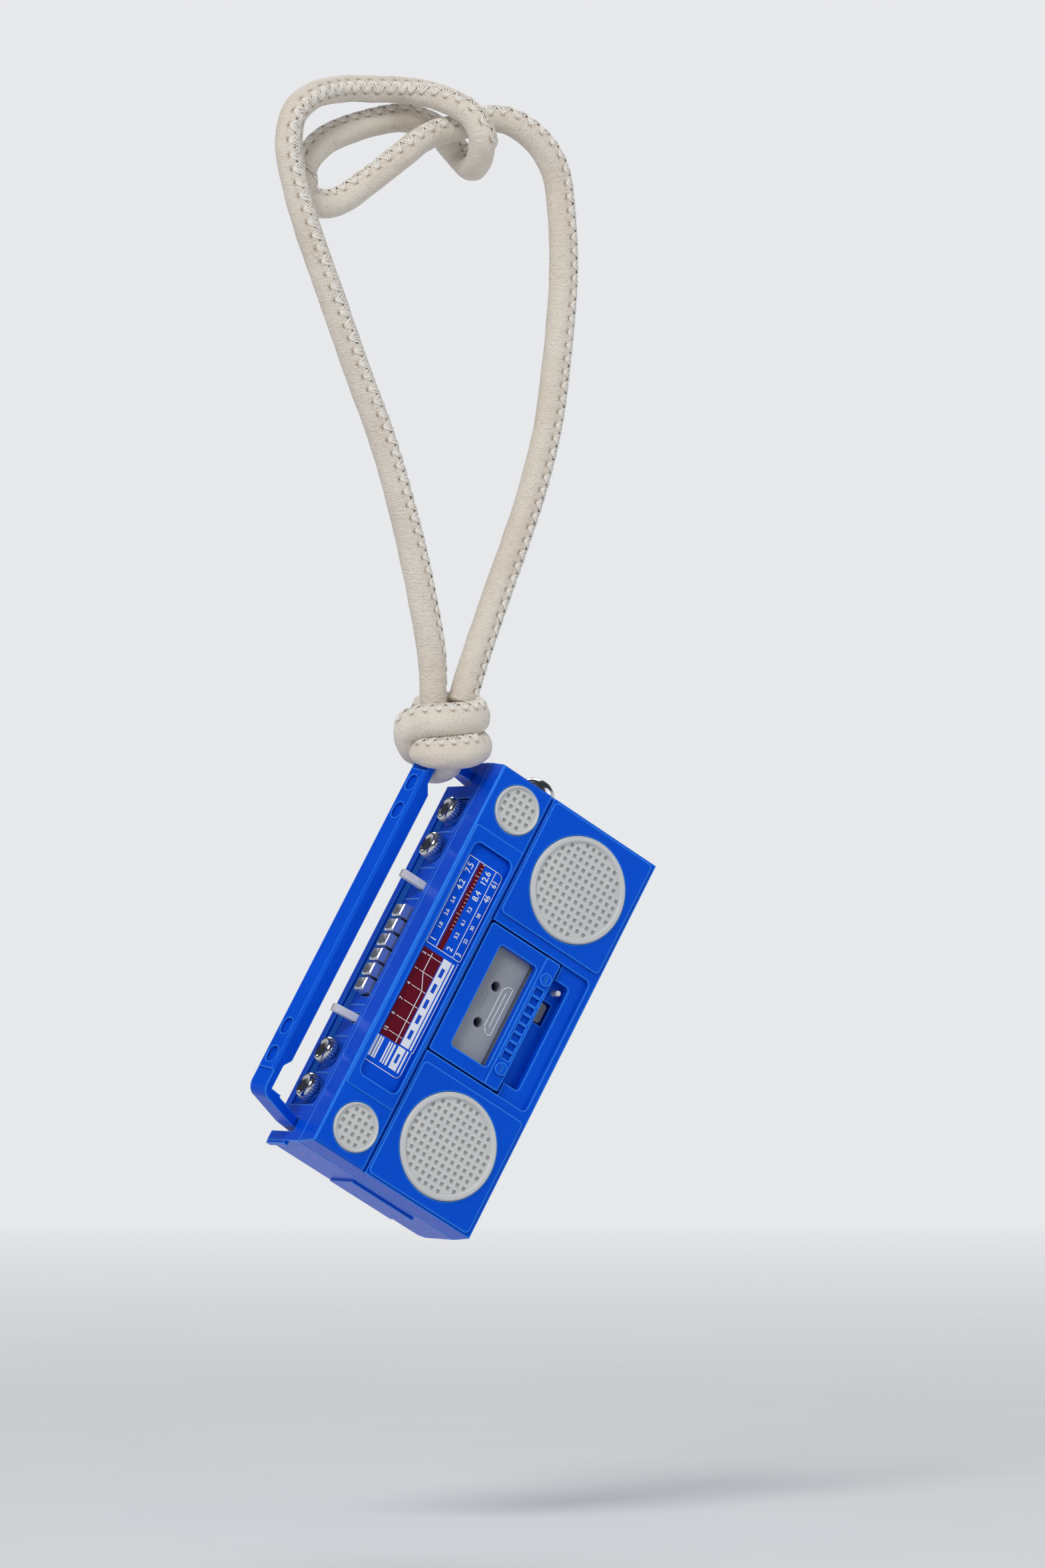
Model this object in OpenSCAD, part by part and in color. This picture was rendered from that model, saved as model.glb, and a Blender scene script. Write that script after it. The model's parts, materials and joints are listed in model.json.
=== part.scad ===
// Miniature radio cassette recorder charm, hung by its handle from a stitched leather loop.
// Every piece is drawn in the radio's own upright frame, then turned into the hanging pose.

/* [Cabinet] */
// Width over the front face
body_w = 66.2; // [63:0.1:69]
// Height from base to top deck
body_h = 31.2; // [30:0.1:32]
// Depth from front face to rear face
body_d = 15.7; // [14.9:0.1:16.5]
// Depth of the front shell, up to the parting line
front_d = 4.6; // [4.4:0.1:4.8]
// Thickness of the front face
face_t = 1.8; // [1.7:0.1:2]
// Thickness of the other walls
wall = 1.2; // [1:0.1:1.4]
// Bevel round the front edges
bevel = 0.3; // [0.2:0.1:0.8]

/* [Grilles] */
// Diameter of a woofer grille
woofer_d = 16.8; // [15.5:0.1:17.4]
// Diameter of a tweeter grille
tweeter_d = 7.7; // [6.8:0.1:8]
// Distance between dimples
dimple_pitch = 1.24; // [1.15:0.01:1.4]
// Width of one square dimple
dimple_w = 0.62; // [0.4:0.01:0.7]

/* [Cassette bay] */
// Width of the cassette door
door_w = 22.4; // [21:0.1:22.8]
// Height of the cassette door
door_h = 13.6; // [13.2:0.1:13.8]
// Width of the window in the door
window_w = 17.8; // [15:0.1:18.2]
// Height of the window in the door
window_h = 7.4; // [6.6:0.1:7.6]

/* [Controls] */
// Diameter of a top knob
knob_d = 4.4; // [3.6:0.1:4.6]
// Height of a top knob above the deck
knob_h = 2.2; // [1.6:0.1:2.8]
// Width of one piano key
key_w = 2.15; // [2:0.05:2.45]
// Height of a key above the deck
key_h = 2; // [1.6:0.1:2.4]
// Height of a lever above the deck
lever_h = 4.2; // [3.4:0.1:4.6]
// Diameter of the knob on the right end
side_knob_d = 5.8; // [5:0.1:6.4]

/* [Handle] */
// Distance from the handle's pivot to the middle of its bar
handle_reach = 12.2; // [11:0.1:12.5]
// How far the handle leans forward
handle_lean = 20; // [17:0.5:21]
// Depth of the bar
bar_w = 3.4; // [3:0.1:3.6]
// Height of the bar
bar_h = 2.9; // [2.6:0.1:3.2]
// Width of an arm
arm_w = 1.6; // [1.4:0.1:1.9]

/* [Leather loop] */
// Diameter of the stitched leather cord
cord_d = 4; // [3.6:0.1:4.2]
// Angle the radio hangs at
hang_angle = 60; // [58:1:62]

/* [Hidden] */
$fn = 48;

// Colours
blue = [0.02, 0.22, 0.80];
grille_grey = [0.80, 0.79, 0.76];
tape_grey = [0.55, 0.54, 0.53];
silver = [0.80, 0.80, 0.82];
cream = [0.88, 0.83, 0.75];
pin_white = [0.86, 0.85, 0.82];

// Where the radio hangs below the hitch
hang_x = 14;
hang_y = -10;
hang_z = -141;

// Cabinet
eps = 0.01;
hw = body_w / 2;
rear_hw = hw + 0.4;
top_z = body_h / 2;
base_z = -body_h / 2;
band_z = 5.55;
band_gap = 0.7;
low_face = 0.35;
bay_x = door_w / 2 + 0.35;
panel_x0 = bay_x + 1.6;
panel_x1 = hw - 0.35;
panel_w = panel_x1 - panel_x0;
panel_z0 = base_z + 0.7;
panel_z1 = 4.95;
post_r = 1.5;
post_bore_r = 0.62;
screw_l = 5;

// Grilles
woofer_x = (bay_x + hw) / 2 + 0.4;
woofer_z = base_z + 10.4;
tweeter_x = hw - 5.1;
tweeter_z = top_z - 5.4;
grille_seat = 0.8;
grille_fit = 0.08;
dimple_depth = 0.22;

// Dial
dial_x = tweeter_x - 7.5;
mid_x = dial_x + 2.3;
post_up = [dial_x + 1.5, top_z - 7.4];
post_low = [hw - 3.2, base_z + 3];
dial_z0 = 6.6;
dial_z1 = 14.1;
dial_r = 1.2;
dial_depth = 1.1;
dial_t = 0.45;

// Cassette bay
bay_z0 = base_z + 1.1;
bay_z1 = band_z - band_gap / 2 + 0.1;
door_z0 = -8.5;
door_z1 = door_z0 + door_h;
bay_sill = door_z0 - 0.7;
bay_floor = 1;
door_y0 = 0.35;
door_t = 1.4;
door_y1 = door_y0 + door_t;
hinge_y = 1.4;
hinge_z = -7.6;
hinge_r = 0.55;
strip_z1 = -5.85;
boss_x = 7.9;
boss_z = -7.2;
boss_r = 1.05;
cell_pitch = 1.6;
slot_x0 = -9.2;
slot_x1 = 9;
slot_z0 = -12.1;
slot_y = 2.7;
head_x = 3.8;
head_z = -10.3;
pin_x = 7.5;
pin_z = -10.8;
pin_r = 0.45;
pin_y0 = 1.2;
tape_x = 9.5;
tape_z0 = -6.6;
tape_z1 = 3.4;
tape_y0 = door_y1 + 0.08;
tape_y1 = tape_y0 + 2.2;
tape_step = -4.7;
hub_x = 3.15;
hub_z = -1.05;

// Deck
deck_top = top_z - 0.45;
deck_t = 1.2;
deck_low = deck_top - deck_t;
deck_x = hw - 5.9;
deck_y0 = front_d + 1.1;
deck_y1 = 13.6;
deck_fit = 0.1;
knob_y = 8.6;
knob_out = hw - 8.6;
knob_in = knob_out - 6.3;
lever_x = 11.7;
lever_y = 7.5;
lever_t = 1.2;
lever_w = 1.2;
lever_hub_r = 0.45;
lever_pivot = deck_low + deck_t / 2;
lever_gap = 0.3;
key_y0 = 6.2;
key_l = 3.1;
dish_depth = 0.28;
dish_r = 2.4;
key_pitch = 2.6;
key_stem_r = 0.5;
guide_low = deck_low - 3.4;
guide_top = deck_low - 1.7;
flutes = 26;
side_knob_y = 6.4;
side_knob_z = 5.6;
side_pin_y = 6.4;
side_pin_z = -3.8;

// Handle
pivot_y = 11.3;
pivot_z = 12.5;
arm_x1 = hw - 1.6;
arm_x0 = arm_x1 - arm_w;
notch_x0 = arm_x0 - 0.5;
notch_x1 = arm_x1 + 0.4;
notch_y = 8;
notch_floor = pivot_z - bar_w / 2 - 0.4;
corner_y = 1.5;
corner_z = 2.5;
trunnion_r = 0.7;
trunnion_fit = 0.05;
raised_x = arm_x1 - 5.1;
cut_x = raised_x - 2.9;
cut_h = 1.4;
shoulder_h = 1.75;
shoulder_in = 1;
splay_z = 4.6;
hollow_l = 2.7;
hollow_w = 1.8;
handle_play = 0.3;

// Knot and loop, measured from the radio's middle with the charm hanging
knot_x = -3.7;
knot_y = 7.8;
knot_z = 40.7;
knot_fit = 0.15;
turn_r = 1.35;
turn_y0 = 3.9;
turn_y1 = 12.2;
cord_r = cord_d / 2;
route = [
    [-6, 8, 46], [-7, 8, 53], [-9, 8, 62], [-12, 8, 74], [-15, 8, 86], [-18.5, 8, 97],
    [-22, 8, 108], [-26, 8, 118], [-29, 8, 126], [-30.5, 8, 132], [-29.5, 8.5, 137],
    [-25, 10, 140], [-19, 12, 141], [-13, 12, 141], [-8, 11.5, 141], [-4, 9, 140],
    [-0.5, 5.5, 137.5], [1.5, 4.5, 133.5], [3, 7.5, 129.5], [4, 11.5, 128.5], [3, 14.5, 131], [-1, 15, 135.5],
    [-7, 15, 137], [-14, 15, 135.5], [-21, 14.5, 132.5], [-25, 13.5, 128],
    [-24.5, 13, 123.5], [-20, 12.5, 123], [-15, 11, 126.5], [-10, 10, 130.5], [-5, 10, 134],
    [0, 10, 135.5], [5, 9.5, 136.5], [9, 8.5, 135.5],
    [12.5, 8, 132], [15.5, 8, 127.5], [17, 8, 120], [17.5, 8, 112], [16.5, 8, 101],
    [15, 8, 90], [12, 8, 80], [8.5, 8, 71], [4.5, 8, 61], [1.5, 8, 53], [-0.5, 8, 46]];
knot_top = route[0][2] - knot_z;
route_sides = 10;
route_steps = 2;

// Sweep helpers: a smooth curve through the route and a tube round it
function curve_point(a, b, c, d, t) = 0.5 * (2 * b + (c - a) * t
    + (2 * a - 5 * b + 4 * c - d) * t * t + (3 * b - a - 3 * c + d) * t * t * t);
function route_at(p, i) = p[max(0, min(len(p) - 1, i))];
function smooth_route(p, n) = concat(
    [for (i = [0 : len(p) - 2], s = [0 : n - 1])
        curve_point(route_at(p, i - 1), p[i], p[i + 1], route_at(p, i + 2), s / n)],
    [p[len(p) - 1]]);
function unit(v) = v / norm(v);
function path_dir(p, i) = unit(route_at(p, i + 1) - route_at(p, i - 1));
// The tube's ends are cut level: it starts upward and ends downward
function ring_dir(p, i) = i == 0 ? [0, 0, 1] : i == len(p) - 1 ? [0, 0, -1] : path_dir(p, i);
function next_side(side, dir) = unit(side - dir * (side * dir));
function ring_sides(p, i = 0, side = [0, 1, 0], out = []) = i >= len(p) ? out
    : ring_sides(p, i + 1, next_side(side, ring_dir(p, i)), concat(out, [next_side(side, ring_dir(p, i))]));
function tube_points(p, r, n) = let (sides = ring_sides(p))
    [for (i = [0 : len(p) - 1], k = [0 : n - 1])
        let (a = 360 * k / n, s = sides[i], q = cross(ring_dir(p, i), s))
        p[i] + r * (cos(a) * s + sin(a) * q)];
function tube_faces(rings, n) = concat(
    [[for (k = [0 : n - 1]) k]],
    [for (i = [0 : rings - 2], k = [0 : n - 1])
        [i * n + k, (i + 1) * n + k, (i + 1) * n + (k + 1) % n, i * n + (k + 1) % n]],
    [[for (k = [n - 1 : -1 : 0]) (rings - 1) * n + k]]);

// Places a piece drawn about the radio's middle, charm hanging
module at_hitch() {
    translate([hang_x, hang_y, hang_z]) children();
}

// Turns an upright piece into the hanging pose
module hang() {
    at_hitch() rotate([0, -hang_angle, 0]) children();
}

// Box from its two corners
module box(a, b) {
    translate(a) cube(b - a);
}

// Flat outline with rounded corners, in X and Z
module rounded(x0, x1, z0, z1, r) {
    translate([x0 + r, z0]) square([x1 - x0 - 2 * r, z1 - z0]);
    translate([x0, z0 + r]) square([x1 - x0, z1 - z0 - 2 * r]);
    for (x = [x0 + r, x1 - r], z = [z0 + r, z1 - r])
        translate([x, z]) circle(r);
}

// Extrudes a flat X-Z outline from y0 back to y1
module slab(y0, y1) {
    translate([0, y1, 0]) rotate([90, 0, 0]) linear_extrude(y1 - y0) children();
}

// Extrudes a flat Y-Z outline from x0 to x1
module bar_x(x0, x1) {
    translate([x0, 0, 0]) rotate([90, 0, 90]) linear_extrude(x1 - x0) children();
}

// Round rod along Y, from y0 back to y1
module rod_y(x, z, r, y0, y1) {
    translate([x, y1, z]) rotate([90, 0, 0]) cylinder(r = r, h = y1 - y0);
}

// Round rod along X, from x0 to x1
module rod_x(y, z, r, x0, x1) {
    translate([x0, y, z]) rotate([0, 90, 0]) cylinder(r = r, h = x1 - x0);
}

// Outside of the front shell, bevelled round its face
module front_block() {
    intersection() {
        translate([0, 0, base_z]) linear_extrude(body_h) polygon([
            [-rear_hw, front_d], [-hw, bevel], [-hw + bevel, 0],
            [hw - bevel, 0], [hw, bevel], [rear_hw, front_d]]);
        bar_x(-rear_hw - 1, rear_hw + 1) polygon([
            [front_d, base_z], [bevel, base_z], [0, base_z + bevel],
            [0, top_z - bevel], [bevel, top_z], [front_d, top_z]]);
    }
}

module front_shell() {
    color(blue) hang() difference() {
        union() {
            difference() {
                front_block();
                box([-hw + wall, face_t, base_z + wall], [hw - wall, front_d + 1, top_z - wall]);
                // Groove between the upper and lower bands
                box([-hw - 1, -1, band_z - band_gap / 2], [hw + 1, 0.7, band_z + band_gap / 2]);
                // Face of the lower band, behind the two speaker panels
                slab(-1, low_face) difference() {
                    translate([-hw - 1, base_z - 1]) square([2 * hw + 2, band_z - base_z + 1]);
                    for (s = [-1, 1])
                        translate([s * (panel_x0 + panel_x1) / 2, 0])
                            rounded(-panel_w / 2, panel_w / 2, panel_z0, panel_z1, 0.8);
                }
            }
            // Raised middle of the upper band
            slab(-0.15, 0.4) rounded(-mid_x, mid_x, band_z + band_gap / 2 + 0.1, top_z - bevel - 0.1, 0.3);
            // Wall behind the tape slot
            box([-bay_x + 1.15, face_t - eps, slot_z0 - 1.1], [bay_x - 1.15, front_d, bay_sill]);
            // Ears that carry the door's pins
            for (s = [-1, 1])
                translate([s * (bay_x + 0.95), 0, 0])
                    box([-0.95, face_t - eps, hinge_z - 1.4], [0.95, 3, hinge_z + 1.4]);
            // Screw posts
            for (s = [-1, 1], p = [post_up, post_low])
                rod_y(s * p[0], p[1], post_r, face_t - eps, body_d - wall);
        }
        // Dial recess
        slab(-1, dial_depth) rounded(-dial_x, dial_x, dial_z0, dial_z1, dial_r);
        // Speaker seats
        for (s = [-1, 1]) {
            rod_y(s * woofer_x, woofer_z, woofer_d / 2 + grille_fit, -1, grille_seat);
            rod_y(s * tweeter_x, tweeter_z, tweeter_d / 2 + grille_fit, -1, grille_seat);
        }
        // Opening behind the door
        box([-bay_x, -1, bay_sill], [bay_x, front_d - 1.2, bay_z1]);
        // Lower bay with its rounded floor
        slab(-1, bay_floor) rounded(-bay_x, bay_x, bay_z0, bay_sill + 2, 0.9);
        // Tape slot and the pocket for the head
        slab(-1, slot_y) rounded(slot_x0, slot_x1, slot_z0, bay_sill + 1, 0.7);
        box([head_x - 1.9, 0, head_z - 1.1], [head_x + 1.9, 4.1, bay_sill + 0.5]);
        rod_y(pin_x, pin_z, pin_r + 0.03, 0, 3.9);
        // Blind bores for the door's pins
        for (s = [-1, 1])
            rod_x(hinge_y, hinge_z, hinge_r + 0.05, s * bay_x - 0.85, s * bay_x + 0.85);
        // Screw bores
        for (s = [-1, 1], p = [post_up, post_low])
            rod_y(s * p[0], p[1], post_bore_r, body_d - wall - screw_l, body_d);
    }
}

module rear_shell() {
    color(blue) hang() difference() {
        union() {
            difference() {
                intersection() {
                    translate([0, 0, base_z]) linear_extrude(body_h) polygon([
                        [-rear_hw, front_d], [rear_hw, front_d], [rear_hw, body_d - bevel],
                        [rear_hw - bevel, body_d], [-rear_hw + bevel, body_d], [-rear_hw, body_d - bevel]]);
                    bar_x(-rear_hw - 1, rear_hw + 1) polygon([
                        [front_d, base_z], [body_d - 1.4, base_z], [body_d, base_z + 1.1],
                        [body_d, top_z - 0.5], [body_d - 0.5, top_z], [front_d, top_z]]);
                }
                box([-hw + wall, front_d - 1, base_z + wall], [hw - wall, body_d - wall, top_z - wall]);
            }
            // Blocks round the handle's notches
            for (s = [-1, 1])
                translate([s * (notch_x0 + notch_x1) / 2, 0, 0])
                    box([-(notch_x1 - notch_x0) / 2 - 1, notch_y - 1, notch_floor - 1],
                        [(notch_x1 - notch_x0) / 2 + 1, body_d - wall + eps, top_z - wall + eps]);
            // Ledges under the deck
            for (s = [-1, 1])
                translate([s * (deck_x - 0.4), 0, 0])
                    box([-0.4, front_d + 0.6, deck_low - 0.8], [0.4, deck_y1 + 0.1, deck_low]);
            left_end();
        }
        // Shadow line beside the parting line, on both ends
        for (s = [-1, 1])
            translate([s * rear_hw, 0, 0])
                box([-0.2, front_d - 1, base_z - 1], [0.2, front_d + 0.35, top_z + 1]);
        // Opening for the deck
        box([-deck_x, deck_y0, deck_low], [deck_x, deck_y1, top_z + 1]);
        // Notches the handle's arms turn in, open to the rear
        for (s = [-1, 1])
            translate([s * (notch_x0 + notch_x1) / 2, 0, 0])
                box([-(notch_x1 - notch_x0) / 2, notch_y, notch_floor],
                    [(notch_x1 - notch_x0) / 2, body_d + 1, top_z + 1]);
        // Corner cut back where the knot passes as the handle folds
        bar_x(hw - wall, rear_hw + 1) polygon([
            [body_d - corner_y, top_z], [body_d - corner_y, top_z + 1], [body_d + 1, top_z + 1],
            [body_d + 1, top_z - corner_z], [body_d, top_z - corner_z]]);
        // Blind bores for the handle's trunnions
        for (s = [-1, 1])
            rod_x(pivot_y, pivot_z, trunnion_r + trunnion_fit,
                s * (notch_x0 + notch_x1) / 2 - (notch_x1 - notch_x0) / 2 - 0.7,
                s * (notch_x0 + notch_x1) / 2 + (notch_x1 - notch_x0) / 2 + 0.7);
        // Screw holes with sunk heads
        for (s = [-1, 1], p = [post_up, post_low]) {
            rod_y(s * p[0], p[1], 0.75, body_d - 2 * wall, body_d + 1);
            rod_y(s * p[0], p[1], 1.25, body_d - 0.7, body_d + 1);
        }
        // Holes for the side knob's stem and the side pin
        rod_x(side_knob_y, side_knob_z, 0.65, hw - 2 * wall, hw + 2);
        rod_x(side_pin_y, side_pin_z, 0.33, hw - 2 * wall, hw + 2);
    }
}

// Raised panel and top lip moulded on the cabinet's left end
module left_end() {
    box([-rear_hw - 0.35, 7.5, -9], [-rear_hw + 0.2, body_d - 1, 3.2]);
    box([-rear_hw - 0.5, 9.5, top_z - 0.9], [-rear_hw + 0.2, body_d - 0.4, top_z - 0.1]);
}

module control_deck() {
    color(blue) hang() difference() {
        union() {
            box([-deck_x + deck_fit, deck_y0 + deck_fit, deck_low],
                [deck_x - deck_fit, deck_y1 - deck_fit, deck_top]);
            // Three fine ridges along the rear
            for (y = [11.7, 12.3, 12.9])
                box([-deck_x + 1.2, y - 0.12, deck_top - eps], [deck_x - 1.2, y + 0.12, deck_top + 0.18]);
            // Low walls between the fields
            for (s = [-1, 1], x = [(knob_in + knob_out) / 2, (knob_in + lever_x) / 2, lever_x - 2.3])
                translate([s * x, 0, deck_top - eps])
                    box([-0.1, deck_y0 + deck_fit, 0], [0.1, knob_y + 2.6, 0.12]);
        }
        for (x = [-knob_out, -knob_in, knob_in, knob_out])
            translate([x, knob_y, deck_low - 1]) cylinder(r = 0.65, h = deck_t + 2);
        for (x = [-lever_x, lever_x]) {
            box([x - lever_t / 2 - lever_gap, lever_y - lever_w / 2 - 0.12, deck_low - 1],
                [x + lever_t / 2 + lever_gap, lever_y + lever_w / 2 + 0.12, deck_top + 1]);
            rod_y(x, lever_pivot, lever_hub_r + 0.05,
                lever_y - lever_w / 2 - 0.7, lever_y + lever_w / 2 + 0.7);
        }
        box([-3 * key_pitch - 0.1, key_y0 - 0.1, deck_low - 1],
            [3 * key_pitch + 0.1, key_y0 + key_l + 0.1, deck_top + 1]);
    }
}

module dial_plate() {
    color(blue) hang()
        slab(dial_depth - dial_t, dial_depth)
            rounded(-dial_x + 0.1, dial_x - 0.1, dial_z0 + 0.1, dial_z1 - 0.1, dial_r - 0.1);
}

// Round grille with a rolled rim and rows of square dimples that don't go through
module grille(x, z, d, rim) {
    r = d / 2;
    n = floor(r / dimple_pitch);
    shift = d > 12 ? dimple_pitch / 2 : 0;
    translate([x, grille_seat, z]) rotate([90, 0, 0]) {
        cylinder(r = r, h = grille_seat + 0.05 - dimple_depth);
        linear_extrude(grille_seat + 0.05) difference() {
            circle(r - rim + 0.1);
            for (i = [-n : n], k = [-n : n]) {
                p = dimple_pitch * [i, k] + [shift, shift];
                if (norm(p) < r - rim - 0.25)
                    translate(p) square(dimple_w, center = true);
            }
        }
        rotate_extrude() polygon([
            [r - rim, 0.1], [r, 0.1], [r, grille_seat + 0.15], [r - 0.25, grille_seat + 0.45],
            [r - rim + 0.3, grille_seat + 0.45], [r - rim, grille_seat + 0.15]]);
    }
}

module left_woofer_grille() {
    color(grille_grey) hang() grille(-woofer_x, woofer_z, woofer_d, 1);
}

module right_woofer_grille() {
    color(grille_grey) hang() grille(woofer_x, woofer_z, woofer_d, 1);
}

module left_tweeter_grille() {
    color(grille_grey) hang() grille(-tweeter_x, tweeter_z, tweeter_d, 0.5);
}

module right_tweeter_grille() {
    color(grille_grey) hang() grille(tweeter_x, tweeter_z, tweeter_d, 0.5);
}

module cassette_door() {
    wz0 = -1.55 - window_h / 2;
    wz1 = -1.55 + window_h / 2;
    color(blue) hang() difference() {
        union() {
            slab(door_y0, door_y1) rounded(-door_w / 2, door_w / 2, door_z0, door_z1, 0.5);
            // Raised strip along the bottom, with two round bosses
            slab(door_y0 - 0.2, door_y0 + 0.2) rounded(-door_w / 2, door_w / 2, door_z0, strip_z1, 0.3);
            for (s = [-1, 1])
                rod_y(s * boss_x, boss_z, boss_r, door_y0 - 0.55, door_y0);
            // Carrier behind the window that holds the cassette
            for (s = [-1, 1])
                translate([s * (tape_x + 0.45), 0, 0])
                    box([-0.35, door_y1 - eps, tape_z0 - 0.8], [0.35, tape_y1 + 0.1, tape_z1]);
            box([-tape_x - 0.8, door_y1 - eps, tape_z0 - 0.8], [tape_x + 0.8, tape_y1 + 0.1, tape_z0 - 0.1]);
            // Pins the door turns on
            for (s = [-1, 1])
                rod_x(hinge_y, hinge_z, hinge_r, s * (door_w / 2 + 0.1) - 0.9, s * (door_w / 2 + 0.1) + 0.9);
        }
        slab(-2, door_y1 + eps) rounded(-window_w / 2, window_w / 2, wz0, wz1, 0.7);
        // Eight cells between the bosses
        for (i = [0 : 7])
            translate([(i - 3.5) * cell_pitch, 0, boss_z])
                box([-0.6, -2, -0.8], [0.6, door_y0 + 0.35, 0.8]);
        // Slots in the bosses
        for (s = [-1, 1])
            translate([s * boss_x, 0, boss_z])
                box([-0.5, -2, -0.12], [0.5, door_y0 - 0.35, 0.12]);
    }
}

module cassette() {
    color(tape_grey) hang() difference() {
        union() {
            slab(tape_y0 + 0.4, tape_y1) rounded(-tape_x, tape_x, tape_z0, tape_z1, 0.5);
            slab(tape_y0, tape_y0 + 0.5) rounded(-tape_x + 0.5, tape_x - 0.5, tape_step, tape_z1 - 0.5, 0.4);
            slab(tape_y0 - 0.05, tape_y0 + 0.2)
                rounded(-hub_x + 1.1, hub_x - 1.1, hub_z - 0.75, hub_z + 0.75, 0.6);
        }
        for (s = [-1, 1])
            rod_y(s * hub_x, hub_z, 0.82, tape_y0 - 1, tape_y1 + 1);
    }
}

module tape_head() {
    color(tape_grey) hang()
        slab(3.2, 4.1) rounded(head_x - 1.6, head_x + 1.6, head_z - 0.8, head_z + 0.8, 0.6);
}

module guide_pin() {
    color(pin_white) hang() {
        rod_y(pin_x, pin_z, pin_r, pin_y0, 3.9);
        translate([pin_x, pin_y0, pin_z]) rotate([90, 0, 0]) cylinder(r1 = pin_r, r2 = pin_r - 0.15, h = 0.15);
    }
}

// Knob with a fluted side and a dished top, on a stem caught under the deck
module top_knob(x) {
    r = knob_d / 2;
    side_h = knob_h - 0.6;
    translate([x, knob_y, deck_top + 0.1]) {
        linear_extrude(side_h) difference() {
            circle(r);
            for (a = [0 : flutes - 1])
                rotate(a * 360 / flutes) translate([r + 0.05, 0]) circle(0.16);
        }
        rotate_extrude() polygon([
            [0, side_h - 0.1], [r - 0.1, side_h - 0.1], [r - 0.1, knob_h - 0.5], [r - 0.2, knob_h - 0.2],
            [r - 0.45, knob_h], [r - 0.65, knob_h], [r - 0.8, knob_h - 0.2], [r - 1.2, knob_h - 0.35],
            [0, knob_h - 0.5]]);
        translate([0, 0, -deck_t - 1]) cylinder(r = 0.6, h = deck_t + 1 + eps);
        translate([0, 0, -deck_t - 1]) cylinder(r = 1, h = 0.6);
    }
}

module outer_left_knob() {
    color(silver) hang() top_knob(-knob_out);
}

module inner_left_knob() {
    color(silver) hang() top_knob(-knob_in);
}

module inner_right_knob() {
    color(silver) hang() top_knob(knob_in);
}

module outer_right_knob() {
    color(silver) hang() top_knob(knob_out);
}

// Flat blade on a round hub in the deck
module lever(x, tilt) {
    translate([x, lever_y, lever_pivot]) rotate([0, tilt, 0]) {
        box([-lever_t / 2, -lever_w / 2, 0], [lever_t / 2, lever_w / 2, deck_top + lever_h - lever_pivot]);
        translate([0, lever_w / 2 + 0.6, 0]) rotate([90, 0, 0]) cylinder(r = lever_hub_r, h = lever_w + 1.2);
    }
}

module left_lever() {
    color(silver) hang() lever(-lever_x, -5);
}

module right_lever() {
    color(silver) hang() lever(lever_x, 0);
}

// Piano key: a dished head on a stem that slides in the guide
module key(n) {
    translate([(n - 3.5) * key_pitch, 0, 0]) {
        difference() {
            intersection() {
                bar_x(-key_w / 2, key_w / 2) polygon([
                    [key_y0, deck_low - 0.6], [key_y0 + key_l, deck_low - 0.6],
                    [key_y0 + key_l, deck_top + key_h - 0.5], [key_y0 + key_l - 0.5, deck_top + key_h],
                    [key_y0 + 0.15, deck_top + key_h], [key_y0, deck_top + key_h - 0.15]]);
                slab(key_y0, key_y0 + key_l) polygon([
                    [-key_w / 2, deck_low - 0.6], [key_w / 2, deck_low - 0.6],
                    [key_w / 2, deck_top + key_h - 0.35], [key_w / 2 - 0.3, deck_top + key_h],
                    [-key_w / 2 + 0.3, deck_top + key_h], [-key_w / 2, deck_top + key_h - 0.35]]);
            }
            // Dished top
            translate([0, key_y0 + key_l / 2, deck_top + key_h - dish_depth + dish_r]) sphere(dish_r);
        }
        // Foot that stops the key under the deck
        box([-key_w / 2, key_y0 - 0.4, deck_low - 0.7], [key_w / 2, key_y0 + key_l + 0.4, deck_low - 0.1]);
        translate([0, key_y0 + key_l / 2, deck_low - 3]) cylinder(r = key_stem_r, h = 2.4);
    }
}

module key_1() {
    color(silver) hang() key(1);
}

module key_2() {
    color(silver) hang() key(2);
}

module key_3() {
    color(silver) hang() key(3);
}

module key_4() {
    color(silver) hang() key(4);
}

module key_5() {
    color(silver) hang() key(5);
}

module key_6() {
    color(silver) hang() key(6);
}

module key_guide() {
    gx = 3 * key_pitch + 1.2;
    gy = key_y0 + key_l / 2;
    color(blue) hang() difference() {
        union() {
            box([-gx, gy - 1.4, guide_low], [gx, gy + 1.4, guide_top]);
            for (s = [-1, 1])
                translate([s * (gx - 0.4), 0, 0])
                    box([-0.4, gy - 1.4, guide_low], [0.4, gy + 1.4, deck_low]);
        }
        for (n = [1 : 6])
            translate([(n - 3.5) * key_pitch, gy, guide_low - 1])
                cylinder(r = key_stem_r + 0.05, h = 4);
    }
}

module side_knob() {
    r = side_knob_d / 2;
    color(silver) hang() translate([rear_hw + 0.1, side_knob_y, side_knob_z]) rotate([0, 90, 0]) {
        rotate_extrude() polygon([
            [0, 0], [r, 0], [r, 0.9], [r - 0.35, 1.5], [r - 1.1, 2.1], [r - 1.9, 2.4], [0, 2.4]]);
        translate([0, 0, -wall - 1.2]) cylinder(r = 0.6, h = wall + 1.2 + eps);
        translate([0, 0, -wall - 1.4]) cylinder(r = 1, h = 0.6);
    }
}

module side_pin() {
    color(silver) hang() rod_x(side_pin_y, side_pin_z, 0.3, hw - wall, rear_hw + 1.1);
}

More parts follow.
